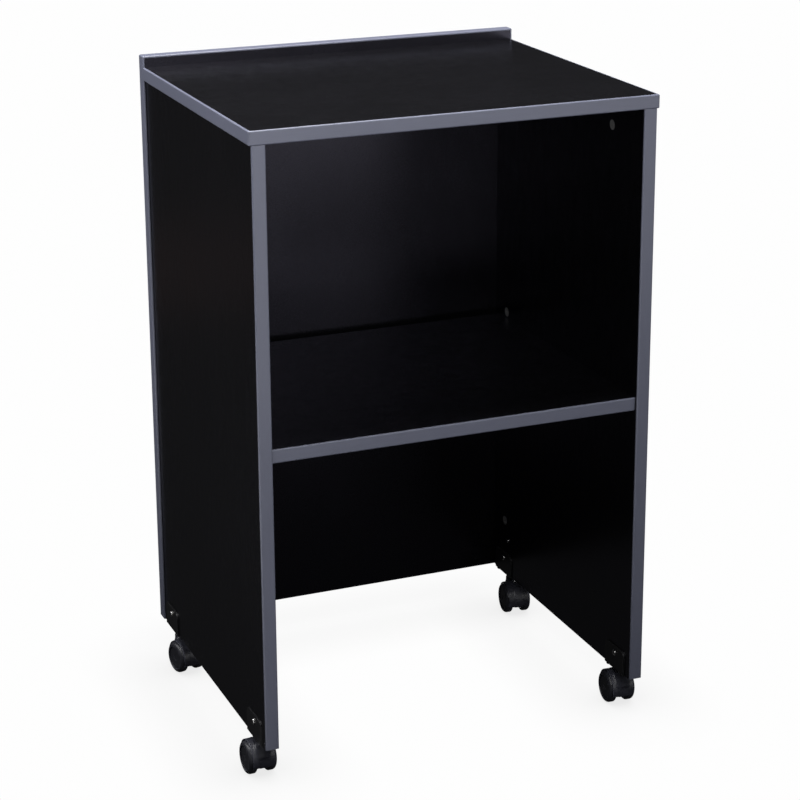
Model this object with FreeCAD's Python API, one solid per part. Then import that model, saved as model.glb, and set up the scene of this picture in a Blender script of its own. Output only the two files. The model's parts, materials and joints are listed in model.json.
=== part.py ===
import FreeCAD, Part
import math
import os

# A mobile lectern base: two side boards, a flat top, a fixed shelf and a back board that
# rises above the top as a lip.  It stands on four twin-wheel swivel casters, each held in
# a steel saddle bracket.  Millimetres.  +X is to the right seen from the open front,
# +Y runs from the open front to the back board, +Z is up, and z = 0 is the floor.

# Carcass
WIDTH = 610.0            # over the top board's edge bands
DEPTH = 510.0            # front edge of the top to the outer face of the back board
BOARD = 20.0             # thickness of every laminated board
BAND = 3.0               # thickness of the edge bands
BAND_ROUND = 2.0         # rounding of an edge band's outer corners
SIDE_INSET = 3.6         # top board's overhang past each side board
SIDE_FOOT = 60.0         # floor to the lower edge of the side boards
TOP_SURFACE = 960.0      # floor to the working surface
LIP = 17.0               # rise of the back board above the working surface
SHELF_SURFACE = 510.5    # floor to the upper face of the shelf
SHELF_SETBACK = 7.5      # shelf's front edge behind the side boards' front edges
CABLE_GAP = 16.0         # open slot between the shelf and the back board

# Knock-down fittings
CAM_RADIUS = 7.5
CAM_DEPTH = 14.5
CAM_REACH = 40.5         # cam centre to the edge that it pulls tight
CAM_FRONT = 97.0         # front edge of the lectern to the front cams under the top
CAM_HEIGHTS = (153.5, 519.0, 884.5)     # cams that hold the back board, above the floor
BOLT_IN = 12.0           # length of a cam bolt in the mating board
BOLT_SHANK = 3.5
BOLT_THREAD = 3.0
BOLT_NECK = 2.1
BOLT_HEAD = 3.2
BOLT_HEAD_LENGTH = 3.0
BOLT_HEAD_ROOM = 0.4     # radial room of the bolt's head inside its cam disc
BOLT_HEAD_CLEAR = 2.3    # free length behind the bolt's head inside its cam disc
CROSS_SPAN = 7.2         # driver's cross in a cam disc
CROSS_WIDTH = 1.4
CROSS_DEPTH = 2.6
DOWEL_RADIUS = 4.0
DOWEL_IN_EDGE = 20.0
DOWEL_IN_FACE = 12.0
DOWEL_CHAMFER = 0.8
BORE_SPARE = 1.0         # depth of a blind bore past the fitting's end
TOP_DOWEL_STEP = 40.0    # each top cam to the dowel beside it
SHELF_CAM_IN = 60.0      # the shelf's front and rear edges to its cams
TOP_REAR_CAM = 150.0     # centre line to the cams at the top's rear edge
SLACK = 0.05             # radial room of each fitting in its bore

# Saddle brackets and their fasteners
PLATE = 2.0              # sheet that the brackets are pressed from
BRACKET_AHEAD = 21.0     # bracket's reach in front of the stem
BRACKET_BEHIND = 39.0    # bracket's reach behind the stem
BRACKET_HEIGHT = 37.0
BRACKET_FOLD = 2.0       # outer radius of the folds
BRACKET_CORNER = 9.0     # rounding of the side plates' upper corners
BRACKET_LIP = 5.5        # drop of the stiffening lip at the bracket's rear end
LIP_CORNER = 3.0
SCREW_BEHIND = 8.0       # bracket's screw behind the stem
SCREW_ABOVE = 26.0       # bracket's screw above the side board's lower edge
SCREW_RADIUS = 2.0
SCREW_LENGTH = 20.0      # under the head
SHOULDER_RADIUS = 3.0    # the screw's shoulder and the barrel nut's sleeve
SHOULDER_LENGTH = 8.0
SLEEVE_LENGTH = 14.0
SLEEVE_FLOOR = 2.0       # solid end of the sleeve, under the nut's head
HEAD_RADIUS = 4.6        # heads of the screw and of its barrel nut
HEAD_HEIGHT = 2.2
HEAD_ROUND = 1.6
NUT_HEAD_HEIGHT = 1.8
NUT_HEAD_ROUND = 1.4
RECESS_SPAN = 4.6        # cross recess in both heads
RECESS_WIDTH = 1.0
RECESS_DEPTH = 1.2
PANEL_SCREW = (436.0, 121.5)     # behind the front edge, above the floor
PANEL_HEAD_RADIUS = 3.4
PANEL_HEAD_HEIGHT = 2.4
PANEL_HEAD_ROUND = 1.4
PANEL_SHANK = 1.7
PANEL_SHANK_LENGTH = 12.0
PANEL_TIP = 3.0
PANEL_TIP_RADIUS = 0.3
PANEL_SLOT = (1.1, 3.6, 0.8)     # depth, span and width of the screw's slot

# Casters
STEM_FRONT = 39.0        # front edge of the lectern to the front stems
STEM_REAR = 441.5        # front edge of the lectern to the rear stems
STEM_SHIFT = -2.0        # all stems stand this far to one side of the side boards' middle
TRAIL = 20.0             # stem axis to axle axis
WHEEL_RADIUS = 24.5
WHEEL_INNER = 9.0        # caster's centre plane to the inner face of a wheel's tread
WHEEL_OUTER = 21.5       # caster's centre plane to a wheel's outer face
WHEEL_BOSS = 6.8         # caster's centre plane to a wheel's boss, beside the hood's web
HUB_END = 17.5           # caster's centre plane to the end of a wheel's hub
CAP_BACK = 18.7          # caster's centre plane to the back of a wheel's cap
CAP_SEAT = 17.2          # inner radius of the step that a cap rests on
CAP_ROOM = 18.2          # radius of the recess that a cap sits in
AXLE_RADIUS = 3.0
AXLE_REACH = 17.3        # caster's centre plane to each end of the axle
AXLE_CHAMFER = 0.6
SNAP_MIDDLE = 14.5       # caster's centre plane to the groove that a wheel snaps into
SNAP_DEPTH = 0.4
SNAP_HALF = 0.6          # half width of the groove
BEAD_HALF = 0.3          # half width of the wheel's bead at its crest
RUNNING = 0.05           # radial room of a running fit
HOOD_RADIUS = 27.0
HOOD_SHELL = 1.6
HOOD_HALF_WIDTH = 17.3
HOOD_WEB = 6.5           # half thickness of the hood's middle web
HOOD_EYE = 16.7          # radius of the web around the axle
HOOD_FROM = -18.0        # degrees up from the trailing side
HOOD_TO = 198.0
HOOD_ROUND = 1.2
BOSS_RADIUS = 8.0
BOSS_ROUND = 1.0
BOSS_FOOT = 34.0         # where the boss starts, inside the hood, above the floor
HOOD_TOP = 54.0
COLLAR_RADIUS = 6.5
COLLAR_HEIGHT = 2.0
STEM_RADIUS = 5.0
SHANK_RADIUS = 4.0
STEM_FOOT = 32.0
STEM_TOP = 78.0
SOCKET_RADIUS = 6.3
SOCKET_TOP = 82.0
SOCKET_FLANGE = 1.2
SOCKET_FLANGE_RADIUS = 7.5
RING_HEIGHT = 1.6
RING_DEPTH = 1.0
RING_FROM_TOP = 8.0
RING_SPLIT = 2.0

# Places worked out from the driving dimensions
HALF = WIDTH / 2
FRONT = -DEPTH / 2
BACK = DEPTH / 2
BACK_FACE = BACK - BOARD                 # inner face of the back board
SIDE_OUT = HALF - SIDE_INSET
SIDE_IN = SIDE_OUT - BOARD
SIDE_MID = SIDE_OUT - BOARD / 2
TOP_UNDER = TOP_SURFACE - BOARD
SHELF_UNDER = SHELF_SURFACE - BOARD
SHELF_FRONT = FRONT + SHELF_SETBACK
SHELF_REAR = BACK_FACE - CABLE_GAP
LIP_TOP = TOP_SURFACE + LIP
WEB_UNDER = SIDE_FOOT - PLATE

X = FreeCAD.Vector(1, 0, 0)
Y = FreeCAD.Vector(0, 1, 0)
Z = FreeCAD.Vector(0, 0, 1)

parts = {}               # node name: list of its solids
bores = {}               # board name: list of the shapes bored out of it


# ---------------------------------------------------------------- helpers

def point(x, y, z):
    return FreeCAD.Vector(x, y, z)


def block(x0, x1, y0, y1, z0, z1):
    return Part.makeBox(x1 - x0, y1 - y0, z1 - z0, point(x0, y0, z0))


def rod(start, along, radius, length):
    return Part.makeCylinder(radius, length, start, along)


def near(a, b):
    return abs(a - b) < 0.01


def rounded(shape, radius, wanted):
    """Fillet the edges whose middle point passes the test."""
    edges = [e for e in shape.Edges if wanted(e.CenterOfMass)]
    return shape.makeFillet(radius, edges)


def add(name, solid):
    parts.setdefault(name, []).append(solid)


def bore(board, shape):
    bores.setdefault(board, []).append(shape)


def side_name(sign):
    return "left" if sign < 0 else "right"


def stem_x(sign):
    return sign * SIDE_MID + STEM_SHIFT


# ---------------------------------------------------------------- boards and bands

def top_board():
    """Core of the top; its front and both ends carry bands, its rear meets the back."""
    core = block(-HALF + BAND, HALF - BAND, FRONT + BAND, BACK_FACE, TOP_UNDER, TOP_SURFACE)
    return core.cut(bores["top_board"])


def top_front_band():
    band = block(-HALF, HALF, FRONT, FRONT + BAND, TOP_UNDER, TOP_SURFACE)

    def outer(c):
        return near(c.y, FRONT) or (near(abs(c.x), HALF) and c.y < FRONT + BAND - 0.1)
    return rounded(band, BAND_ROUND, outer)


def top_end_band(sign):
    x0, x1 = sorted((sign * HALF, sign * (HALF - BAND)))
    band = block(x0, x1, FRONT + BAND, BACK_FACE, TOP_UNDER, TOP_SURFACE)

    def outer(c):
        return near(c.x, sign * HALF) and near(c.y, (FRONT + BAND + BACK_FACE) / 2)
    return rounded(band, BAND_ROUND, outer)


def side_board(sign):
    x0, x1 = sorted((sign * SIDE_IN, sign * SIDE_OUT))
    core = block(x0, x1, FRONT + BAND, BACK_FACE, SIDE_FOOT, TOP_UNDER)
    return core.cut(bores["side_board_" + side_name(sign)])


def side_front_band(sign):
    x0, x1 = sorted((sign * SIDE_IN, sign * SIDE_OUT))
    band = block(x0, x1, FRONT, FRONT + BAND, SIDE_FOOT, TOP_UNDER)

    def outer(c):
        return near(c.y, FRONT) and c.z < TOP_UNDER - 0.1
    return rounded(band, BAND_ROUND, outer)


def shelf_board():
    core = block(-SIDE_IN, SIDE_IN, SHELF_FRONT + BAND, SHELF_REAR, SHELF_UNDER, SHELF_SURFACE)
    return core.cut(bores["shelf_board"])


def shelf_front_band():
    band = block(-SIDE_IN, SIDE_IN, SHELF_FRONT, SHELF_FRONT + BAND, SHELF_UNDER, SHELF_SURFACE)

    def outer(c):
        return near(c.y, SHELF_FRONT) and near(c.x, 0)
    return rounded(band, BAND_ROUND, outer)


def back_board():
    core = block(-HALF + BAND, HALF - BAND, BACK_FACE, BACK, SIDE_FOOT, LIP_TOP - BAND)
    return core.cut(bores["back_board"])


def back_top_band():
    band = block(-HALF, HALF, BACK_FACE, BACK, LIP_TOP - BAND, LIP_TOP)

    def outer(c):
        return near(c.z, LIP_TOP) or (near(abs(c.x), HALF) and c.z > LIP_TOP - BAND + 0.1)
    return rounded(band, BAND_ROUND, outer)


def back_end_band(sign):
    x0, x1 = sorted((sign * HALF, sign * (HALF - BAND)))
    band = block(x0, x1, BACK_FACE, BACK, SIDE_FOOT, LIP_TOP - BAND)

    def outer(c):
        return near(c.x, sign * HALF) and c.z < LIP_TOP - BAND - 0.1
    return rounded(band, BAND_ROUND, outer)


# ---------------------------------------------------------------- knock-down fittings

def cam_joint(board, mate, face, inward, along):
    """A cam disc let into a board's face, and the bolt that it pulls out of the mate."""
    middle = face + inward * (BOARD / 2)                # on the bolt's axis
    head_start = middle - along * (BOLT_HEAD_LENGTH / 2)
    disc = rod(face, inward, CAM_RADIUS, CAM_DEPTH)
    pocket = rod(head_start - along * BOLT_HEAD_CLEAR, along, BOLT_HEAD + BOLT_HEAD_ROOM, 2 * CAM_RADIUS)
    across = along.cross(inward)
    for turn in (45, 135):
        angle = math.radians(turn)
        span = (along * math.cos(angle) + across * math.sin(angle)) * CROSS_SPAN
        width = span.cross(inward).normalize() * CROSS_WIDTH
        start = face - span * 0.5 - width * 0.5
        corners = [start, start + span, start + span + width, start + width, start]
        pocket = pocket.fuse(Part.Face(Part.makePolygon(corners)).extrude(inward * CROSS_DEPTH))
    add("cam_discs", disc.cut(pocket))
    head = rod(head_start, along, BOLT_HEAD, BOLT_HEAD_LENGTH)
    neck = rod(middle, along, BOLT_NECK, CAM_RADIUS)
    shank_start = middle + along * CAM_RADIUS
    shank = rod(shank_start, along, BOLT_SHANK, CAM_REACH - CAM_RADIUS)
    thread = rod(middle + along * CAM_REACH, along, BOLT_THREAD, BOLT_IN - BORE_SPARE)
    add("cam_bolts", head.multiFuse([neck, shank, thread]).removeSplitter())
    bore(board, rod(face, inward, CAM_RADIUS + SLACK, CAM_DEPTH))
    bore(board, rod(middle, along, BOLT_SHANK + SLACK, CAM_REACH))
    bore(mate, rod(middle + along * CAM_REACH, along, BOLT_THREAD + SLACK, BOLT_IN))


def dowel(board, mate, at, along):
    """A fluteless wooden dowel, across the joint between a board's edge and its mate."""
    length = DOWEL_IN_EDGE + DOWEL_IN_FACE - 2 * BORE_SPARE
    pin = rod(at - along * (DOWEL_IN_EDGE - BORE_SPARE), along, DOWEL_RADIUS, length)
    rims = [e for e in pin.Edges if e.Curve.TypeId == "Part::GeomCircle"]
    add("dowels", pin.makeChamfer(DOWEL_CHAMFER, rims))
    bore(board, rod(at - along * DOWEL_IN_EDGE, along, DOWEL_RADIUS + SLACK, DOWEL_IN_EDGE))
    bore(mate, rod(at, along, DOWEL_RADIUS + SLACK, DOWEL_IN_FACE))


def side_joints(sign):
    board = "side_board_" + side_name(sign)
    outward = X * sign
    top_cams = (FRONT + CAM_FRONT, BACK_FACE - CAM_FRONT)
    for y in top_cams:
        cam_joint(board, "top_board", point(sign * SIDE_IN, y, TOP_UNDER - CAM_REACH), outward, Z)
    for y in (top_cams[0] + TOP_DOWEL_STEP, top_cams[1] - TOP_DOWEL_STEP):
        dowel(board, "top_board", point(sign * SIDE_MID, y, TOP_UNDER), Z)
    for z in CAM_HEIGHTS:
        cam_joint(board, "back_board", point(sign * SIDE_IN, BACK_FACE - CAM_REACH, z), outward, Y)
    for low, high in zip(CAM_HEIGHTS, CAM_HEIGHTS[1:]):
        dowel(board, "back_board", point(sign * SIDE_MID, BACK_FACE, (low + high) / 2), Y)
    for y in (SHELF_FRONT + SHELF_CAM_IN, SHELF_REAR - SHELF_CAM_IN):
        face = point(sign * (SIDE_IN - CAM_REACH), y, SHELF_UNDER)
        cam_joint("shelf_board", board, face, Z, outward)
    middle = point(sign * SIDE_IN, (SHELF_FRONT + SHELF_REAR) / 2, SHELF_UNDER + BOARD / 2)
    dowel("shelf_board", board, middle, outward)


def top_joints():
    for x in (-TOP_REAR_CAM, TOP_REAR_CAM):
        cam_joint("top_board", "back_board", point(x, BACK_FACE - CAM_REACH, TOP_UNDER), Z, Y)
        dowel("top_board", "back_board", point(x / 2, BACK_FACE, TOP_UNDER + BOARD / 2), Y)


# ---------------------------------------------------------------- brackets and fasteners

def bracket(sign, stem_y):
    """A saddle of pressed steel over the side board's lower edge, both faces covered."""
    y0 = stem_y - BRACKET_AHEAD
    y1 = stem_y + BRACKET_BEHIND
    x0 = SIDE_IN - PLATE
    x1 = SIDE_OUT + PLATE
    crown = SIDE_FOOT + BRACKET_HEIGHT
    saddle = block(x0, x1, y0, y1, WEB_UNDER, crown)
    lip_foot = WEB_UNDER - BRACKET_LIP

    def fold(c):
        return near(c.z, WEB_UNDER) and near(c.y, (y0 + y1) / 2)

    def crown_corner(c):
        return near(c.z, crown) and (near(c.y, y0) or near(c.y, y1))

    def lip_corner(c):
        return near(c.z, lip_foot) and near(c.y, y1 - PLATE / 2)
    saddle = rounded(saddle, BRACKET_FOLD, fold)
    saddle = rounded(saddle, BRACKET_CORNER, crown_corner)
    saddle = saddle.cut(block(SIDE_IN, SIDE_OUT, y0 - 1, y1 + 1, SIDE_FOOT, crown + 1))
    lip = block(SIDE_IN + 1, SIDE_OUT - 1, y1 - PLATE, y1, lip_foot, WEB_UNDER + 1)
    saddle = saddle.fuse(rounded(lip, LIP_CORNER, lip_corner)).removeSplitter()
    saddle = saddle if sign > 0 else saddle.mirror(point(0, 0, 0), X)
    stem = point(stem_x(sign), stem_y, WEB_UNDER - 1)
    return saddle.cut([rod(stem, Z, SOCKET_RADIUS + SLACK, PLATE + 2), screw_hole(sign, stem_y)])


def screw_hole(sign, stem_y):
    """Shape of the hole through a bracket and the side board between its plates."""
    reach = PLATE + 1
    at = point(sign * (SIDE_IN - reach), stem_y + SCREW_BEHIND, SIDE_FOOT + SCREW_ABOVE)
    return rod(at, X * sign, SHOULDER_RADIUS + SLACK, BOARD + 2 * reach)


def cross_headed(radius, height, edge):
    """Low domed head standing on x = 0 towards +X, with a cross recess."""
    head = rounded(rod(point(0, 0, 0), X, radius, height), edge, lambda c: near(c.x, height))
    span = RECESS_SPAN / 2
    width = RECESS_WIDTH / 2
    for y, z in ((span, width), (width, span)):
        head = head.cut(block(height - RECESS_DEPTH, height + 1, -y, y, -z, z))
    return head


def bracket_screw():
    """Shoulder screw: its head stands on x = 0, the rest reaches towards -X."""
    shoulder = rod(point(-SHOULDER_LENGTH, 0, 0), X, SHOULDER_RADIUS, SHOULDER_LENGTH)
    shank = rod(point(-SCREW_LENGTH, 0, 0), X, SCREW_RADIUS, SCREW_LENGTH)
    head = cross_headed(HEAD_RADIUS, HEAD_HEIGHT, HEAD_ROUND)
    return head.multiFuse([shoulder, shank]).removeSplitter()


def barrel_nut():
    """Blind sleeve that the screw runs into: its head stands on x = 0, as the screw's does."""
    sleeve = rod(point(-SLEEVE_LENGTH, 0, 0), X, SHOULDER_RADIUS, SLEEVE_LENGTH)
    head = cross_headed(HEAD_RADIUS, NUT_HEAD_HEIGHT, NUT_HEAD_ROUND)
    nut = head.fuse(sleeve).removeSplitter()
    depth = SLEEVE_LENGTH - SLEEVE_FLOOR
    return nut.cut(rod(point(-SLEEVE_LENGTH, 0, 0), X, SCREW_RADIUS + SLACK, depth))


def fasten_bracket(sign, stem_y):
    """Screw from the outside and barrel nut from the inside, on one axis."""
    y = stem_y + SCREW_BEHIND
    z = SIDE_FOOT + SCREW_ABOVE
    ends = (("bracket_screws", bracket_screw(), SIDE_OUT + PLATE, 1),
            ("bracket_nuts", barrel_nut(), SIDE_IN - PLATE, -1))
    for node, shape, face, outward in ends:
        if sign * outward < 0:
            shape = shape.mirror(point(0, 0, 0), X)
        shape.translate(point(sign * face, y, z))
        add(node, shape)


def panel_screw(sign, y, z):
    """Small pan-head wood screw in a side board's inner face."""
    face = point(sign * SIDE_IN, y, z)
    top = sign * (SIDE_IN - PANEL_HEAD_HEIGHT)
    inward = X * sign
    depth, span, width = PANEL_SLOT
    head = rod(face, inward * -1, PANEL_HEAD_RADIUS, PANEL_HEAD_HEIGHT)
    head = rounded(head, PANEL_HEAD_ROUND, lambda c: near(c.x, top))
    shank = rod(face, inward, PANEL_SHANK, PANEL_SHANK_LENGTH)
    tip_start = face + inward * PANEL_SHANK_LENGTH
    tip = Part.makeCone(PANEL_SHANK, PANEL_TIP_RADIUS, PANEL_TIP, tip_start, inward)
    screw = head.multiFuse([shank, tip]).removeSplitter()
    slot = block(top - depth, top + depth, y - span / 2, y + span / 2, z - width / 2, z + width / 2)
    bore_length = PANEL_SHANK_LENGTH + PANEL_TIP + BORE_SPARE
    bore("side_board_" + side_name(sign), rod(face, inward, PANEL_SHANK + SLACK, bore_length))
    return screw.cut(slot)


# ---------------------------------------------------------------- casters

def axle_centre():
    return point(0, TRAIL, WHEEL_RADIUS)


def around_axle(radius, x0, x1):
    return rod(axle_centre() + X * x0, X, radius, x1 - x0)


def hood_slice(half_width):
    """Pie slice about the axle, over the wheels from the stem side to the trailing side."""
    def rim(degrees):
        angle = math.radians(degrees)
        offset = point(0, math.cos(angle), math.sin(angle)) * HOOD_RADIUS
        return axle_centre() + offset - X * half_width
    corner = axle_centre() - X * half_width
    arc = Part.Arc(rim(HOOD_FROM), rim((HOOD_FROM + HOOD_TO) / 2), rim(HOOD_TO)).toShape()
    edges = [Part.makeLine(corner, rim(HOOD_FROM)), arc, Part.makeLine(rim(HOOD_TO), corner)]
    return Part.Face(Part.Wire(edges)).extrude(X * (2 * half_width))


def caster_hood():
    """Cover over both treads, a middle web with the axle's eye, and the stem's boss."""
    room = HOOD_RADIUS - HOOD_SHELL
    reach = HOOD_HALF_WIDTH + 1
    shell = hood_slice(HOOD_HALF_WIDTH).cut(around_axle(room, -reach, reach))
    rims = [e for e in shell.Edges if e.Curve.TypeId == "Part::GeomCircle"
            and near(e.Curve.Radius, HOOD_RADIUS)]
    shell = shell.makeFillet(HOOD_ROUND, rims)
    web = hood_slice(HOOD_WEB).fuse(around_axle(HOOD_EYE, -HOOD_WEB, HOOD_WEB))
    boss = rod(point(0, 0, BOSS_FOOT), Z, BOSS_RADIUS, HOOD_TOP - BOSS_FOOT)
    boss = rounded(boss, BOSS_ROUND, lambda c: near(c.z, HOOD_TOP))
    boss = boss.cut([around_axle(room, HOOD_WEB, reach), around_axle(room, -reach, -HOOD_WEB)])
    hood = shell.fuse(web.removeSplitter()).fuse(boss).removeSplitter()
    hood = hood.cut(rod(point(0, 0, STEM_FOOT), Z, SHANK_RADIUS + SLACK, HOOD_TOP))
    return hood.cut(around_axle(AXLE_RADIUS + SLACK, -reach, reach))


def caster_stem():
    shank = rod(point(0, 0, STEM_FOOT), Z, SHANK_RADIUS, HOOD_TOP - STEM_FOOT)
    collar = rod(point(0, 0, HOOD_TOP), Z, COLLAR_RADIUS, COLLAR_HEIGHT)
    low = HOOD_TOP + COLLAR_HEIGHT
    pin = rod(point(0, 0, low), Z, STEM_RADIUS, STEM_TOP - low)
    pin = pin.makeChamfer(1.5, [e for e in pin.Edges if near(e.CenterOfMass.z, STEM_TOP)])
    groove = rod(point(0, 0, STEM_TOP - RING_FROM_TOP), Z, STEM_RADIUS + 1, RING_HEIGHT)
    groove = groove.cut(rod(point(0, 0, low), Z, STEM_RADIUS - RING_DEPTH, STEM_TOP))
    return shank.multiFuse([collar, pin]).cut(groove).removeSplitter()


def grip_ring():
    """Split spring ring in the stem's groove, which holds the stem in its socket."""
    base = point(0, 0, STEM_TOP - RING_FROM_TOP + SLACK)
    split = RING_SPLIT / 2
    ring = rod(base, Z, STEM_RADIUS, RING_HEIGHT - 2 * SLACK)
    ring = ring.cut(rod(base, Z, STEM_RADIUS - RING_DEPTH + SLACK, RING_HEIGHT))
    return ring.cut(block(-split, split, 0, STEM_RADIUS + 1, base.z - 1, base.z + RING_HEIGHT + 1))


def stem_socket():
    """Flanged steel sleeve, pushed up through the bracket into the side board's edge."""
    low = WEB_UNDER - SOCKET_FLANGE
    sleeve = rod(point(0, 0, low), Z, SOCKET_RADIUS, SOCKET_TOP - low)
    flange = rod(point(0, 0, low), Z, SOCKET_FLANGE_RADIUS, SOCKET_FLANGE)
    hole = rod(point(0, 0, low - 1), Z, STEM_RADIUS + RUNNING, SOCKET_TOP - low - 1)
    return sleeve.fuse(flange).cut(hole).removeSplitter()


def caster_axle():
    """Steel pin through the hood's web, with a groove at each end for a wheel to snap on."""
    pin = around_axle(AXLE_RADIUS, -AXLE_REACH, AXLE_REACH)
    ends = [e for e in pin.Edges if near(abs(e.CenterOfMass.x), AXLE_REACH)]
    pin = pin.makeChamfer(AXLE_CHAMFER, ends)
    core = around_axle(AXLE_RADIUS - SNAP_DEPTH, -AXLE_REACH, AXLE_REACH)
    for x in (-SNAP_MIDDLE, SNAP_MIDDLE):
        ring = around_axle(AXLE_RADIUS + 1, x - SNAP_HALF, x + SNAP_HALF)
        pin = pin.cut(ring.cut(core))
    return pin


def revolved(outline):
    """Turn a closed outline of (x, radius) points, or arcs of three points, about the axle."""
    def place(p):
        return axle_centre() + point(p[0], 0, p[1])
    edges = []
    for piece in outline:
        if len(piece) == 3:
            edges.append(Part.Arc(*[place(p) for p in piece]).toShape())
        else:
            edges.append(Part.makeLine(*[place(p) for p in piece]))
    return Part.Face(Part.Wire(edges)).revolve(axle_centre(), X, 360)


def arc_between(centre, radius, start, end):
    """Three points on an arc, angles in degrees from the x axis towards the radius axis."""
    angles = (start, (start + end) / 2, end)
    return [(centre[0] + radius * math.cos(math.radians(a)),
             centre[1] + radius * math.sin(math.radians(a))) for a in angles]


def caster_wheel(sign):
    """Moulded wheel: rounded tread, raised rim on its outer face, web and snap-on hub."""
    boss = 8.0                           # radius of the boss beside the hood's web
    hub = 6.5
    web_in = WHEEL_INNER + 1.2           # the web lies between these two, along the axle
    web_out = 12.7
    outer_corner = 5.3                   # rounding of the tread's outer corner
    inner_corner = 2.5
    inner_rim = 20.0
    draft = 0.6                          # the moulding's taper inside its inner face
    bore_r = AXLE_RADIUS + RUNNING
    bead_r = bore_r - SNAP_DEPTH
    bead = BEAD_HALF
    bead_foot = BEAD_HALF + 0.2
    outer_arc = arc_between((WHEEL_OUTER - outer_corner, WHEEL_RADIUS - outer_corner), outer_corner, 0, 90)
    inner_arc = arc_between((WHEEL_INNER + inner_corner, WHEEL_RADIUS - inner_corner),
                            inner_corner, 90, 180)
    stops = [(WHEEL_BOSS, boss), (WHEEL_BOSS, bore_r), (SNAP_MIDDLE - bead_foot, bore_r),
             (SNAP_MIDDLE - bead, bead_r), (SNAP_MIDDLE + bead, bead_r), (SNAP_MIDDLE + bead_foot, bore_r),
             (HUB_END, bore_r), (HUB_END, hub), (web_out, hub), (web_out, CAP_SEAT), (CAP_BACK, CAP_SEAT),
             (CAP_BACK, CAP_ROOM), (WHEEL_OUTER, CAP_ROOM), outer_arc[0]]
    outline = [[a, b] for a, b in zip(stops, stops[1:])]
    outline += [outer_arc, [outer_arc[2], inner_arc[0]], inner_arc]
    stops = [inner_arc[2], (WHEEL_INNER, inner_rim), (web_in, inner_rim - draft),
             (web_in, boss + draft), (WHEEL_BOSS, boss)]
    outline += [[a, b] for a, b in zip(stops, stops[1:])]
    return facing(revolved(outline), sign)


def wheel_cap(sign):
    """Recessed disc that closes a wheel's outer face, with a dimple over the axle."""
    radius = CAP_ROOM - 0.1
    dimple = 4.0
    slope = 1.0                          # width of the slope around the dimple
    dimple_face = 19.5
    face = 20.1
    rim_face = 19.7
    rim_start = 16.2
    dish = [(CAP_BACK, 0), (dimple_face, 0), (dimple_face, dimple), (face, dimple + slope),
            (face, rim_start), (rim_face, radius), (CAP_BACK, radius)]
    outline = [[a, b] for a, b in zip(dish, dish[1:] + dish[:1])]
    return facing(revolved(outline), sign)


def facing(shape, sign):
    return shape if sign > 0 else shape.mirror(axle_centre(), X)


# Each caster: name, side, stem's distance from the front edge, and how far it stands
# turned about its stem; at 0 the wheels trail towards the back.
CASTERS = (
    ("front_left", -1, STEM_FRONT, 2.0),
    ("front_right", 1, STEM_FRONT, -4.0),
    ("rear_left", -1, STEM_REAR, 191.0),
    ("rear_right", 1, STEM_REAR, 173.0),
)


def make_caster(name, sign, from_front, turn):
    stem_y = FRONT + from_front
    stem = point(stem_x(sign), stem_y, 0)
    spin = FreeCAD.Placement(stem, FreeCAD.Rotation(Z, turn))
    board = "side_board_" + side_name(sign)

    def put(node, shape):
        shape.Placement = spin.multiply(shape.Placement)
        add("caster_" + name + "_" + node, shape)

    put("hood", caster_hood())
    put("stem", caster_stem())
    put("grip_ring", grip_ring())
    put("axle", caster_axle())
    outer = sign if abs(turn) < 90 else -sign
    for label, facing_sign in (("outer", outer), ("inner", -outer)):
        put("wheel_" + label, caster_wheel(facing_sign))
        put("cap_" + label, wheel_cap(facing_sign))
    socket = stem_socket()
    socket.translate(stem)
    add("stem_sockets", socket)
    bore(board, rod(stem + Z * (SIDE_FOOT - 1), Z, SOCKET_RADIUS + SLACK, SOCKET_TOP + 1 - SIDE_FOOT))
    bore(board, screw_hole(sign, stem_y))
    add("bracket_" + name, bracket(sign, stem_y))
    fasten_bracket(sign, stem_y)


# ---------------------------------------------------------------- assembly

for caster in CASTERS:
    make_caster(*caster)
for side in (-1, 1):
    side_joints(side)
    add("panel_screws", panel_screw(side, FRONT + PANEL_SCREW[0], PANEL_SCREW[1]))
top_joints()

add("top_board", top_board())
add("top_front_band", top_front_band())
add("shelf_board", shelf_board())
add("shelf_front_band", shelf_front_band())
add("back_board", back_board())
add("back_top_band", back_top_band())
for side in (-1, 1):
    add("top_end_band_" + side_name(side), top_end_band(side))
    add("side_board_" + side_name(side), side_board(side))
    add("side_front_band_" + side_name(side), side_front_band(side))
    add("back_end_band_" + side_name(side), back_end_band(side))

os.makedirs("parts", exist_ok=True)
for node, solids in sorted(parts.items()):
    shape = solids[0] if len(solids) == 1 else Part.makeCompound(solids)
    shape.exportStep("parts/" + node + ".step")
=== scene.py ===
"""Looks of a mobile lectern: black laminate, blue-grey edge bands and four twin-wheel casters.

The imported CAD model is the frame.  This script gives every node its finish, puts moulded
hoods in place of the plain ones, and sets the floor, the lights and the camera.  Metres,
in the row frame, except for the hood's own shape, which is worked out in millimetres.
"""

import json
import math

import bmesh
import bpy
import numpy as np
import openvdb
from mathutils import Matrix, Vector


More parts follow.
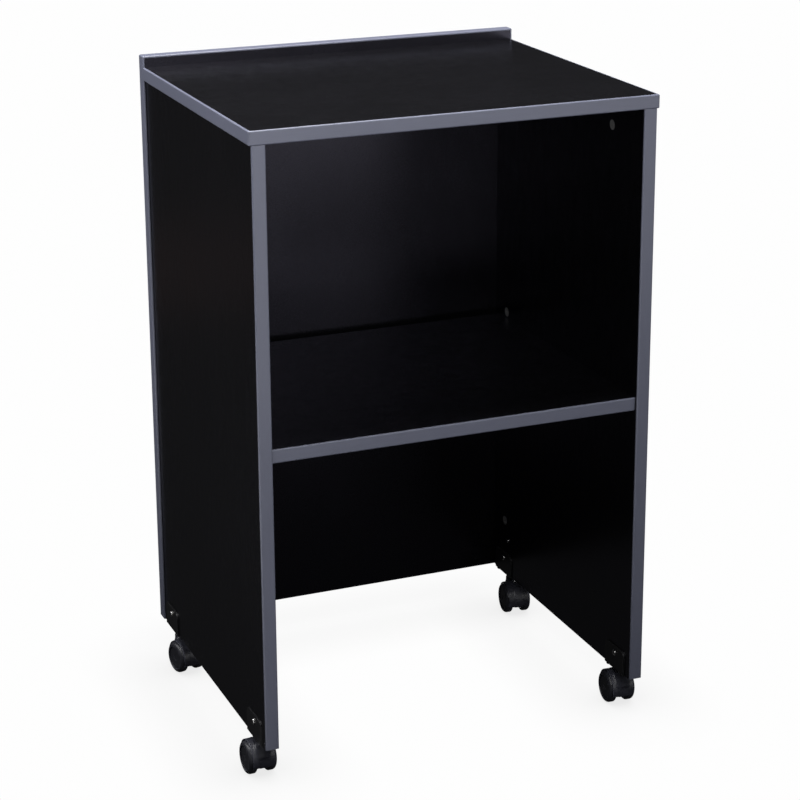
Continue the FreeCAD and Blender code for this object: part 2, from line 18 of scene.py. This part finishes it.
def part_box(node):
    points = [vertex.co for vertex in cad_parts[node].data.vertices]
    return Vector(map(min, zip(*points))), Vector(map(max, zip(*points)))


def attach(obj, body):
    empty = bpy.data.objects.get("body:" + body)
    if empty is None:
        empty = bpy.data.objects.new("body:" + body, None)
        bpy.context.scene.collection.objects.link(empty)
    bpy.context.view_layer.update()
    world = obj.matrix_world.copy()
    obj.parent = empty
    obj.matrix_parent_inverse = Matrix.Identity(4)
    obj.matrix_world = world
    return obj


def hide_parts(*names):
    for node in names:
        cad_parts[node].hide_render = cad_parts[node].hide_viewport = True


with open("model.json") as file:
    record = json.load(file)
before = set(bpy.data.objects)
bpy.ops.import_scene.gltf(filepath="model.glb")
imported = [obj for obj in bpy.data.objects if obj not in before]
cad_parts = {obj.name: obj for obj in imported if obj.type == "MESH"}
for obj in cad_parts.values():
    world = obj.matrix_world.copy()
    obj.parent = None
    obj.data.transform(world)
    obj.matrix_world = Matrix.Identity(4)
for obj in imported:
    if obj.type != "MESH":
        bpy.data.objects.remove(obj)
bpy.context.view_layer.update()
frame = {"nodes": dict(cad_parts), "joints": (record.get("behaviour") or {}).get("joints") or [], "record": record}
NODES = frame["nodes"]
JOINTS = {joint["name"]: joint for joint in frame["joints"]}
MM = 0.001
CASTERS = ("front_left", "front_right", "rear_left", "rear_right")


# ---------------------------------------------------------------- node trees

class Finish:
    """One material, built a node at a time around its Principled shader."""

    def __init__(self, name):
        self.material = bpy.data.materials.new(name)
        self.material.use_nodes = True
        self.tree = self.material.node_tree
        self.shader = self.tree.nodes["Principled BSDF"]
        self.place = self.add("ShaderNodeTexCoord").outputs["Object"]

    def add(self, kind, settings=None, inputs=None):
        node = self.tree.nodes.new(kind)
        for key, value in (settings or {}).items():
            setattr(node, key, value)
        for key, value in (inputs or {}).items():
            self.feed(node.inputs[key], value)
        return node

    def feed(self, socket, value):
        """Link a socket to another, or set its value."""
        if isinstance(value, bpy.types.NodeSocket):
            self.tree.links.new(value, socket)
        else:
            socket.default_value = value

    def surface(self, **values):
        """Set the shader's inputs, with underscores for the spaces in their names."""
        for key, value in values.items():
            self.feed(self.shader.inputs[key.replace("_", " ")], value)

    def stretched(self, x, y, z):
        mapping = self.add("ShaderNodeMapping", inputs={"Vector": self.place, "Scale": (x, y, z)})
        return mapping.outputs["Vector"]

    def noise(self, scale, vector=None, detail=2.0, roughness=0.5):
        inputs = {"Vector": vector or self.place, "Scale": scale, "Detail": detail, "Roughness": roughness}
        return self.add("ShaderNodeTexNoise", inputs=inputs).outputs["Fac"]

    def cells(self, scale, vector=None):
        inputs = {"Vector": vector or self.place, "Scale": scale}
        return self.add("ShaderNodeTexVoronoi", inputs=inputs).outputs["Distance"]

    def remap(self, value, low, high, to_low, to_high):
        inputs = {"Value": value, "From Min": low, "From Max": high, "To Min": to_low, "To Max": to_high}
        return self.add("ShaderNodeMapRange", inputs=inputs).outputs["Result"]

    def sums(self, operation, a, b):
        node = self.add("ShaderNodeMath", {"operation": operation})
        self.feed(node.inputs[0], a)
        self.feed(node.inputs[1], b)
        return node.outputs["Value"]

    def blend(self, factor, first, second):
        """Colour between two colours, given as RGB."""
        node = self.add("ShaderNodeMix", {"data_type": "RGBA"})
        self.feed(node.inputs["Factor"], factor)
        for socket, colour in zip(node.inputs[6:8], (first, second)):
            self.feed(socket, colour if isinstance(colour, bpy.types.NodeSocket) else (*colour, 1.0))
        return node.outputs[2]

    def relief(self, height, depth):
        """Bump from a height of 0 to 1 that stands for depth in metres."""
        inputs = {"Height": height, "Distance": depth, "Strength": 1.0}
        return self.add("ShaderNodeBump", inputs=inputs).outputs["Normal"]

    def edges(self, radius):
        """0 on faces, rising to 1 along edges and corners, within radius of them."""
        soft = self.add("ShaderNodeBevel", {"samples": 4}, {"Radius": radius}).outputs["Normal"]
        true = self.add("ShaderNodeNewGeometry").outputs["Normal"]
        dot = self.add("ShaderNodeVectorMath", {"operation": "DOT_PRODUCT"})
        self.feed(dot.inputs[0], soft)
        self.feed(dot.inputs[1], true)
        return self.remap(dot.outputs["Value"], 0.995, 0.8, 0.0, 1.0)


# ---------------------------------------------------------------- finishes

def black_laminate():
    """Melamine on board: almost black, a fine pearl grain, faint handling marks."""
    f = Finish("black_laminate")
    grain = f.noise(1500.0, detail=3.0, roughness=0.6)
    pearl = f.cells(900.0)
    marks = f.noise(7.0, f.stretched(1.0, 1.0, 0.45), detail=4.0, roughness=0.62)
    shade = f.noise(2.2, detail=2.0)
    colour = f.blend(f.remap(shade, 0.3, 0.7, 0.0, 1.0), (0.0012, 0.0012, 0.0013), (0.0019, 0.0019, 0.0021))
    colour = f.blend(f.sums("MULTIPLY", f.edges(0.0006), 0.35), colour, (0.030, 0.030, 0.032))
    rough = f.remap(marks, 0.35, 0.72, 0.25, 0.285)
    rough = f.sums("ADD", rough, f.remap(grain, 0.3, 0.7, -0.03, 0.03))
    pits = f.relief(f.sums("ADD", grain, f.sums("MULTIPLY", pearl, 0.8)), 0.000012)
    f.surface(Base_Color=colour, Roughness=rough, Normal=pits)
    f.surface(Specular_IOR_Level=0.62, Specular_Tint=(0.80, 0.77, 1.0, 1.0))
    return f.material


def edge_band(name, along):
    """Extruded PVC band: blue-grey, with faint draw lines along its length."""
    f = Finish(name)
    stretch = [1.0 if axis == along else 40.0 for axis in "xyz"]
    lines = f.noise(26.0, f.stretched(*stretch), detail=5.0, roughness=0.65)
    grain = f.noise(1900.0, detail=2.0, roughness=0.6)
    shade = f.noise(3.0, detail=3.0)
    colour = f.blend(f.remap(shade, 0.3, 0.7, 0.0, 1.0), (0.108, 0.115, 0.158), (0.120, 0.127, 0.173))
    colour = f.blend(f.remap(lines, 0.35, 0.65, 0.0, 0.35), colour, (0.142, 0.149, 0.200))
    # painted highlight: the band's colour turns pale neutral grey along its edges and corners, where light catches
    # them
    colour = f.blend(f.sums("MULTIPLY", f.edges(0.0007), 0.70), colour, (0.40, 0.40, 0.41))
    rough = f.remap(lines, 0.3, 0.7, 0.34, 0.44)
    height = f.sums("ADD", lines, f.sums("MULTIPLY", grain, 0.5))
    f.surface(Base_Color=colour, Roughness=rough, Normal=f.relief(height, 0.000022))
    return f.material


def moulded(name, dark, light, rough, grain_depth):
    """Injection-moulded nylon with a spark-eroded texture and a painted highlight along its edges and rims."""
    f = Finish(name)
    grain = f.noise(2600.0, detail=2.0, roughness=0.7)
    mottle = f.noise(160.0, detail=3.0, roughness=0.6)
    colour = f.blend(f.remap(mottle, 0.3, 0.7, 0.0, 1.0), dark, light)
    # painted highlight: edges and rims are lightened to 5.5 times the light tone, standing in for the light they
    # catch
    painted_rim_highlight = tuple(5.5 * value for value in light)
    colour = f.blend(f.sums("MULTIPLY", f.edges(0.0014), 0.9), colour, painted_rim_highlight)
    roughness = f.remap(mottle, 0.3, 0.7, rough - 0.05, rough + 0.05)
    f.surface(Base_Color=colour, Roughness=roughness, Normal=f.relief(grain, grain_depth))
    return f.material


def black_steel():
    """Black powder coat: orange peel, thinner and brighter along the folded edges."""
    f = Finish("black_steel")
    peel = f.noise(620.0, detail=2.0, roughness=0.45)
    speck = f.noise(2400.0, detail=1.0)
    colour = f.blend(f.remap(speck, 0.35, 0.65, 0.0, 1.0), (0.006, 0.006, 0.0066), (0.011, 0.011, 0.012))
    colour = f.blend(f.sums("MULTIPLY", f.edges(0.0008), 0.5), colour, (0.07, 0.07, 0.075))
    f.surface(Base_Color=colour, Roughness=f.remap(peel, 0.3, 0.7, 0.30, 0.42))
    f.surface(Normal=f.relief(f.sums("ADD", peel, f.sums("MULTIPLY", speck, 0.25)), 0.000045))
    return f.material


def metal(name, dark, light, rough, streak=(1.0, 1.0, 1.0), pits=0.000006, metallic=1.0):
    """Plated or bare metal: cloudy colour, fine scratches, a painted highlight along edges and painted shade where
    parts meet.
    """
    f = Finish(name)
    clouds = f.noise(420.0, detail=3.0, roughness=0.6)
    scratch = f.noise(900.0, f.stretched(*streak), detail=3.0, roughness=0.7)
    colour = f.blend(f.remap(clouds, 0.3, 0.7, 0.0, 1.0), dark, light)
    # painted highlight: the colour turns near white along edges and corners
    colour = f.blend(f.sums("MULTIPLY", f.edges(0.0006), 0.6), colour, (0.92, 0.92, 0.90))
    # painted shade: ambient occlusion darkens the colour in recesses and where other parts come within 2 mm
    painted_crease_shade = f.add("ShaderNodeAmbientOcclusion", {"samples": 4}, {"Distance": 0.002}).outputs["AO"]
    colour = f.blend(f.remap(painted_crease_shade, 0.3, 0.95, 0.55, 0.0), colour, (0.03, 0.028, 0.026))
    roughness = f.sums("ADD", f.remap(clouds, 0.3, 0.7, rough - 0.05, rough + 0.05),
                       f.remap(scratch, 0.3, 0.7, -0.05, 0.05))
    f.surface(Base_Color=colour, Metallic=metallic, Roughness=roughness, Normal=f.relief(scratch, pits))
    return f.material


def beech():
    """Raw beech dowel: pale, with rays and rings."""
    f = Finish("beech")
    rings = f.noise(180.0, f.stretched(1.0, 1.0, 6.0), detail=4.0, roughness=0.6)
    rays = f.cells(700.0, f.stretched(1.0, 0.3, 1.0))
    colour = f.blend(f.remap(rings, 0.3, 0.7, 0.0, 1.0), (0.42, 0.26, 0.14), (0.60, 0.42, 0.25))
    colour = f.blend(f.remap(rays, 0.0, 0.25, 0.35, 0.0), colour, (0.30, 0.17, 0.09))
    f.surface(Base_Color=colour, Roughness=f.remap(rings, 0.3, 0.7, 0.6, 0.75))
    f.surface(Normal=f.relief(rings, 0.00004))
    return f.material


FINISHES = {
    "black_laminate": black_laminate(),
    "band_x": edge_band("band_x", "x"),
    "band_y": edge_band("band_y", "y"),
    "band_z": edge_band("band_z", "z"),
    "zinc": metal("zinc", (0.36, 0.36, 0.36), (0.48, 0.48, 0.475), 0.45, metallic=0.55),
    "zinc_bolt": metal("zinc_bolt", (0.45, 0.45, 0.43), (0.62, 0.61, 0.58), 0.30),
    "beech": beech(),
    "bright_steel": metal("bright_steel", (0.62, 0.61, 0.60), (0.80, 0.79, 0.78), 0.16),
    "black_steel": black_steel(),
    "socket_steel": metal("socket_steel", (0.30, 0.30, 0.30), (0.45, 0.45, 0.44), 0.38),
    "hood_plastic": moulded("hood_plastic", (0.024, 0.025, 0.034), (0.033, 0.034, 0.046), 0.40, 0.00002),
    "wheel_nylon": moulded("wheel_nylon", (0.020, 0.0205, 0.0265), (0.029, 0.0297, 0.0375), 0.40, 0.00002),
    "cap_plastic": moulded("cap_plastic", (0.021, 0.0215, 0.0270), (0.030, 0.0307, 0.0380), 0.34, 0.000014),
    "stem_steel": metal("stem_steel", (0.50, 0.50, 0.50), (0.70, 0.70, 0.69), 0.22, (1.0, 1.0, 30.0)),
    "spring_steel": metal("spring_steel", (0.20, 0.20, 0.21), (0.34, 0.34, 0.35), 0.28),
}


def longest_axis(node):
    low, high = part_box(node)
    sides = high - low
    return "xyz"[max(range(3), key=lambda i: sides[i])]


def dress_nodes():
    """Give every CAD node the finish of its material slot in the record."""
    for part in frame["record"]["subparts"]:
        node, slot = part["node"], part["material_slot"]
        finish = "band_" + longest_axis(node) if slot == "edge_band" else slot
        for place in NODES[node].material_slots:
            place.link = "OBJECT"
            place.material = FINISHES[finish]


# ---------------------------------------------------------------- edges of boards and bands

BOARD_EDGE = 0.00025      # softened edge of a trimmed board
BAND_EDGE = 0.0003


def soften(node, width, segments=2):
    """Break a node's sharp edges with a modifier; its own mesh stays as packed."""
    piece = NODES[node]
    weld = piece.modifiers.new("weld", "WELD")
    weld.merge_threshold = 0.000002
    flat = piece.modifiers.new("flat", "DECIMATE")
    flat.decimate_type = "DISSOLVE"
    flat.angle_limit = math.radians(0.6)
    bevel = piece.modifiers.new("edge", "BEVEL")
    bevel.width = width
    bevel.segments = segments
    bevel.limit_method = "ANGLE"
    bevel.angle_limit = math.radians(40)
    bevel.use_clamp_overlap = True
    bevel.harden_normals = False
    normals = piece.modifiers.new("normals", "WEIGHTED_NORMAL")
    normals.keep_sharp = False
    normals.weight = 90


def soften_carcass():
    for node in NODES:
        if node.endswith("_board") or node.startswith("side_board"):
            soften(node, BOARD_EDGE)
        elif "band" in node:
            soften(node, BAND_EDGE)


# ---------------------------------------------------------------- caster hoods

# Shape of a hood in millimetres, about the axle: a is along the axle, t towards the
# trailing side and u up.  The main sizes are those of the CAD hood.
VOXEL = 0.5
ROOF_OUT = 27.0           # outer and inner radius of the roof over the treads
ROOF_IN = 25.4
ROOF_HALF = 17.3          # half its width
ROOF_ROUND = 0.75
ROOF_FROM = -18.0         # degrees up from the trailing side
ROOF_TO = 198.0
WEB_HALF = 6.5
EYE = 16.7                # radius of the web around the axle
BOSS = 8.0                # radius of the stem's boss
BOSS_LOW = 9.5
BOSS_HIGH = 29.5
AXLE_BORE = 3.05
STEM_BORE = 4.05
STEM_BORE_LOW = 7.5
SADDLE = 7.0              # how far the boss flows out into the roof
BLEND = 0.5               # how softly bores and other cuts meet the surface
MARGIN = 3.0              # empty room round the shape in its grid
GRID_DEPTH = 4 * VOXEL    # depth of the distances that the grid holds


def smooth_min(a, b, reach):
    mix = np.clip(0.5 + 0.5 * (b - a) / reach, 0.0, 1.0)
    return b + (a - b) * mix - reach * mix * (1.0 - mix)


def smooth_max(a, b, reach):
    return -smooth_min(-a, -b, reach)


def rounded_box(first, first_half, second, second_half, radius):
    """Distance to a rounded rectangle in the plane of two distances from its middle."""
    p = np.abs(first) - (first_half - radius)
    q = np.abs(second) - (second_half - radius)
    outside = np.hypot(np.maximum(p, 0.0), np.maximum(q, 0.0))
    return outside + np.minimum(np.maximum(p, q), 0.0) - radius


def hood_distance(a, t, u, stem_t):
    """Signed distance to the hood's surface, negative inside.

    The roof spans more than half a turn, so its sector is two half planes together.
    """
    around = np.hypot(t, u)
    start, end = math.radians(ROOF_FROM), math.radians(ROOF_TO)
    sector = np.minimum(t * math.sin(start) - u * math.cos(start),
                        -t * math.sin(end) + u * math.cos(end))
    from_roof = around - (ROOF_OUT + ROOF_IN) / 2
    roof = rounded_box(from_roof, (ROOF_OUT - ROOF_IN) / 2, a, ROOF_HALF, ROOF_ROUND)
    roof = smooth_max(roof, sector, 1.0)
    web = smooth_min(np.maximum(around - ROOF_OUT, sector), around - EYE, 4.0)
    web = smooth_max(web, np.abs(a) - WEB_HALF, 1.0)
    from_stem = np.hypot(t - stem_t, a)
    boss = rounded_box(from_stem, BOSS, u - (BOSS_LOW + BOSS_HIGH) / 2, (BOSS_HIGH - BOSS_LOW) / 2, 1.2)
    body = smooth_min(smooth_min(roof, web, 1.5), boss, SADDLE)
    wheel_room = np.maximum(around - ROOF_IN, WEB_HALF - np.abs(a))
    body = smooth_max(body, -wheel_room, 0.8)
    body = smooth_max(body, AXLE_BORE - around, BLEND)
    stem_hole = np.maximum(from_stem - STEM_BORE, STEM_BORE_LOW - u)
    return smooth_max(body, -stem_hole, BLEND)


def hood_mesh(stem_t):
    """The hood's surface as a mesh in metres, for a stem at stem_t along the trailing axis."""
    low = np.array([-ROOF_HALF, stem_t - BOSS - 2.0, -EYE]) - MARGIN
    high = np.array([ROOF_HALF, ROOF_OUT, BOSS_HIGH]) + MARGIN
    steps = [np.arange(low[i], high[i], VOXEL) for i in range(3)]
    distance = hood_distance(*np.meshgrid(*steps, indexing="ij"), stem_t)
    grid = openvdb.FloatGrid(GRID_DEPTH)
    grid.copyFromArray(np.clip(distance, -GRID_DEPTH, GRID_DEPTH).astype(np.float32))
    points, quads = grid.convertToQuads(isovalue=0.0)
    points = (points * VOXEL + low) * MM
    mesh = bpy.data.meshes.new("hood")
    mesh.from_pydata(points.tolist(), [], quads[:, ::-1].tolist())
    mesh.validate()
    mesh.polygons.foreach_set("use_smooth", [True] * len(mesh.polygons))
    mesh.update()
    mesh.materials.append(FINISHES["hood_plastic"])
    return mesh


def build_hoods():
    """A moulded hood on each swivel body, in the place of its plain CAD hood."""
    mesh = None
    for caster in CASTERS:
        stem = Vector(JOINTS[caster + "_swivel"]["pos_m"])
        axle = Vector(JOINTS[caster + "_outer_roll"]["pos_m"])
        trail = (axle - stem) * Vector((1, 1, 0))
        if mesh is None:
            mesh = hood_mesh(-trail.length / MM)
        up = Vector((0, 0, 1))
        trail_way = trail.normalized()
        along = trail_way.cross(up)
        hood = bpy.data.objects.new("hood_" + caster, mesh)
        bpy.context.scene.collection.objects.link(hood)
        turn = Matrix((along, trail_way, up)).transposed().to_4x4()
        hood.matrix_world = Matrix.Translation(axle) @ turn
        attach(hood, "swivel_" + caster)
        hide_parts("caster_" + caster + "_hood")


# ---------------------------------------------------------------- floor, lights, camera

FLOOR_REACH = 30.0
DOME_RADIUS = 36.0
PALE = 0.99               # brightness of the open floor and the backdrop
# painted shadow on the floor: its brightness close under the object, and how far the darkening reaches
FLOOR_IN_PAINTED_SHADOW = 0.80            # brightness of the floor close under the object
PAINTED_SHADOW_REACH = 0.16


def glowing(name):
    """A finish that shows its own even brightness and takes no light."""
    f = Finish(name)
    f.surface(Base_Color=(0.0, 0.0, 0.0, 1.0), Specular_IOR_Level=0.0, Roughness=1.0)
    f.surface(Emission_Color=(1.0, 1.0, 1.0, 1.0), Emission_Strength=PALE)
    return f


def staged(name, mesh, material):
    """Add something that only the camera sees: it neither lights nor shades the object."""
    thing = bpy.data.objects.new(name, mesh)
    bpy.context.scene.collection.objects.link(thing)
    mesh.materials.append(material)
    thing.visible_diffuse = False
    thing.visible_glossy = False
    thing.visible_shadow = False


def pale_floor():
    """Plain pale floor with a painted shadow: it is darker where the object stands close over it."""
    mesh = bpy.data.meshes.new("floor")
    corners = [(x * FLOOR_REACH, y * FLOOR_REACH, 0.0) for x, y in ((-1, -1), (1, -1), (1, 1), (-1, 1))]
    mesh.from_pydata(corners, [], [(0, 1, 2, 3)])
    f = glowing("floor")
    painted_floor_shadow = f.add("ShaderNodeAmbientOcclusion", {"samples": 16}, {"Distance": PAINTED_SHADOW_REACH})
    # painted shadow: ambient occlusion dims the floor's own glow near the object, since no light is cast onto it
    f.surface(Emission_Strength=f.remap(painted_floor_shadow.outputs["AO"], 0.25, 1.0, FLOOR_IN_PAINTED_SHADOW, PALE))
    staged("floor", mesh, f.material)


def white_dome():
    """Backdrop all round, as pale as the floor."""
    form = bmesh.new()
    bmesh.ops.create_icosphere(form, subdivisions=4, radius=DOME_RADIUS)
    mesh = bpy.data.meshes.new("dome")
    form.to_mesh(mesh)
    form.free()
    staged("dome", mesh, glowing("dome").material)


ROOM = (0.022, 0.022, 0.023)
WARM = (1.0, 0.55, 0.45)
GLOW_HEIGHT = 0.02


def softbox(name, place, target, width, height, power, colour=(1.0, 1.0, 1.0)):
    lamp = bpy.data.lights.new(name, "AREA")
    lamp.shape = "RECTANGLE"
    lamp.size = width
    lamp.size_y = height
    lamp.energy = power
    lamp.color = colour
    box = bpy.data.objects.new(name, lamp)
    bpy.context.scene.collection.objects.link(box)
    box.location = place
    box.rotation_euler = (Vector(target) - Vector(place)).to_track_quat("-Z", "Y").to_euler()
    box.visible_camera = False


def floor_glow(name, x, y, width, depth, power, colour=(1.0, 1.0, 1.0)):
    """A light that lies on the floor and faces up, for the light that a pale floor returns."""
    softbox(name, (x, y, GLOW_HEIGHT), (x, y, 1.0), width, depth, power, colour)


def studio():
    """Soft lights: overhead, close above the front, and low ones for the floor's glow.

    The rear and right ones stay below the top, so they reach only the outer faces.
    """
    middle = (0.0, 0.0, 0.55)
    upper = (0.0, 0.0, 0.72)
    softbox("overhead", (0.0, 0.0, 3.15), middle, 1.1, 1.1, 130.0)
    softbox("key", (-0.4, -0.75, 1.75), upper, 0.55, 0.5, 3.4)
    softbox("key_low", (-0.4, -1.3, 1.5), upper, 0.55, 0.5, 3.4)
    softbox("front", (0.0, -2.25, 1.85), middle, 1.2, 1.1, 12.0)
    softbox("front_right", (1.3, -2.25, 0.78), middle, 1.35, 1.1, 7.2)
    softbox("left", (-1.3, 0.0, 1.5), upper, 0.6, 0.6, 7.0)
    softbox("rear_left", (-1.95, 1.12, 1.85), middle, 1.2, 1.1, 20.0)
    softbox("rear", (0.9, 2.3, 0.6), (0.0, 0.2, 0.5), 1.3, 0.6, 16.0)
    softbox("right", (2.3, 0.6, 0.6), (0.3, 0.0, 0.5), 1.1, 0.6, 9.0)
    floor_glow("floor_front", 0.0, -3.4, 0.7, 0.8, 33.0)
    floor_glow("floor_middle", 0.0, -2.5, 0.6, 0.8, 11.0)
    floor_glow("floor_corner", -0.6, -0.6, 0.65, 0.6, 0.9)
    floor_glow("floor_left", -1.6, 0.0, 1.2, 0.8, 9.0)
    floor_glow("floor_front_left", -1.15, -1.15, 1.2, 0.8, 6.5)
    floor_glow("floor_warm", -1.1, 2.4, 0.8, 0.8, 0.05, WARM)


def room_light():
    """Dim grey light from all round, as from the far walls of a studio."""
    world = bpy.data.worlds.new("studio")
    bpy.context.scene.world = world
    world.use_nodes = True
    world.node_tree.nodes["Background"].inputs["Color"].default_value = (*ROOM, 1.0)


AZIMUTH, ELEVATION, ROLL = -22.352, 17.018, -0.300
CAMERA_PLACE = (-1.2234, -3.0065, 1.5874)
LENS = 101.70
SHIFT_Y = -0.10


def camera():
    data = bpy.data.cameras.new("camera")
    data.sensor_width = 36.0
    data.lens = LENS
    data.shift_y = SHIFT_Y
    data.clip_start, data.clip_end = 0.05, 100.0
    eye = bpy.data.objects.new("camera", data)
    bpy.context.scene.collection.objects.link(eye)
    turn, tilt, roll = (math.radians(angle) for angle in (AZIMUTH, ELEVATION, ROLL))
    back = Vector((math.sin(turn) * math.cos(tilt), -math.cos(turn) * math.cos(tilt), math.sin(tilt)))
    right = Vector((0, 0, 1)).cross(back).normalized()
    up = back.cross(right)
    rolled_right = right * math.cos(roll) + up * math.sin(roll)
    rolled_up = up * math.cos(roll) - right * math.sin(roll)
    axes = Matrix((rolled_right, rolled_up, back)).transposed().to_4x4()
    eye.matrix_world = Matrix.Translation(CAMERA_PLACE) @ axes
    bpy.context.scene.camera = eye


# ---------------------------------------------------------------- scene

camera()
room_light()
studio()
pale_floor()
white_dome()
dress_nodes()
soften_carcass()
build_hoods()
bpy.context.scene.view_settings.view_transform = "Standard"
